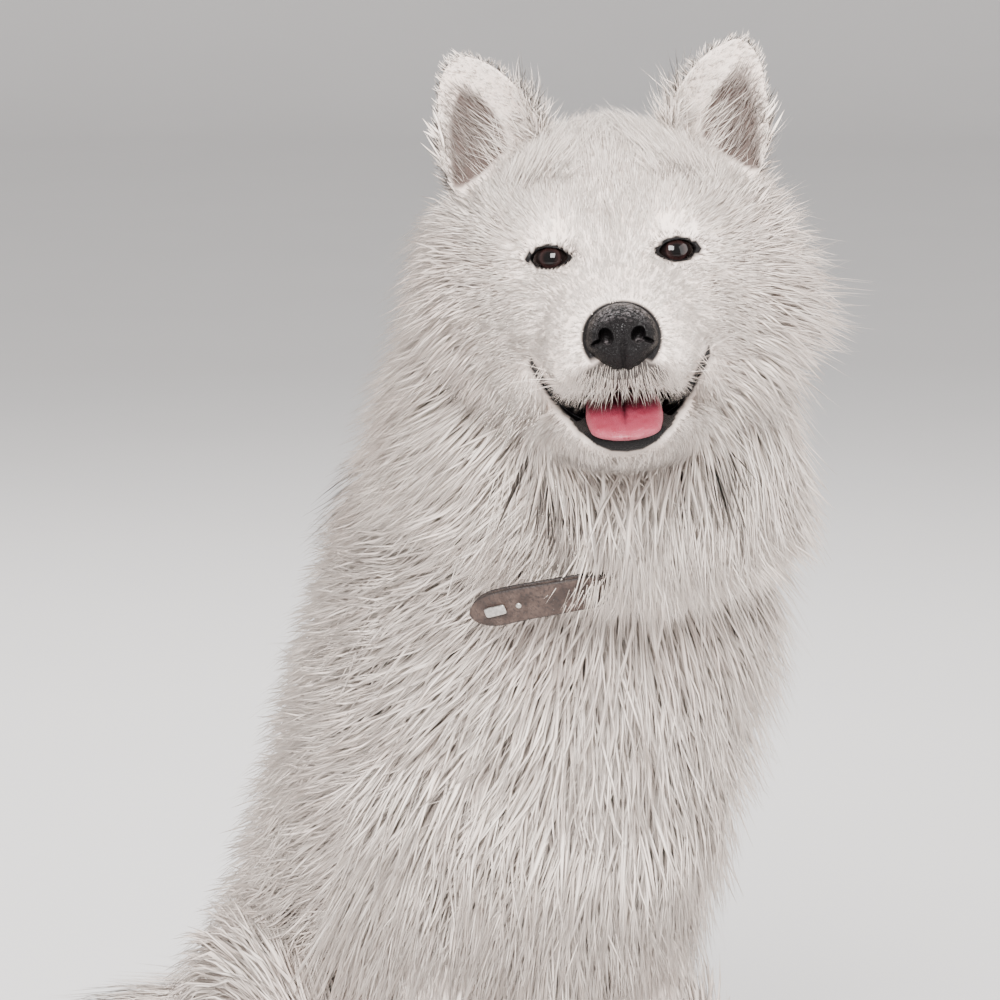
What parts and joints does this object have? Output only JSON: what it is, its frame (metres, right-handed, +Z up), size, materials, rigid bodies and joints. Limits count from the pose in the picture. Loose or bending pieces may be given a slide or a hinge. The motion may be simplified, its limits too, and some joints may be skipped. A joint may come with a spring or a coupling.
{
  "type": "sitting samoyed dog",
  "caption": "Sitting long-coated white dog with pricked ears and open mouth, head turned to its right, wearing a leather collar; a still, life-size model.",
  "frame": {"origin": "middle of the model's box, on the floor it sits on", "axes": "+Z up; the body faces -Y and its left side is towards +X; the head is turned 25 degrees to the dog's right"},
  "size_m": [0.4542, 0.7562, 0.8079],
  "materials": {
    "white_coat": "long white outer coat over a soft undercoat",
    "black_skin": "moist black nose leather",
    "tongue": "wet pink",
    "eye_brown": "glossy dark brown",
    "leather": "worn brown",
    "steel": "dull, bare"
  },
  "bodies": {
    "root": {"head": "white_coat", "lower_jaw": "white_coat", "ear_left": "white_coat", "ear_right": "white_coat", "neck": "white_coat", "torso": "white_coat", "foreleg_left": "white_coat", "foreleg_right": "white_coat", "forepaw_left": "white_coat", "forepaw_right": "white_coat", "hind_foot_left": "white_coat", "hind_foot_right": "white_coat", "shank_left": "white_coat", "shank_right": "white_coat", "thigh_left": "white_coat", "thigh_right": "white_coat", "tail": "white_coat", "nose": "black_skin", "tongue": "tongue", "eye_left": "eye_brown", "eye_right": "eye_brown", "collar_band": "leather", "collar_strap_inner": "leather", "collar_strap_outer": "leather", "collar_plate": "steel"}
  },
  "joints": []
}
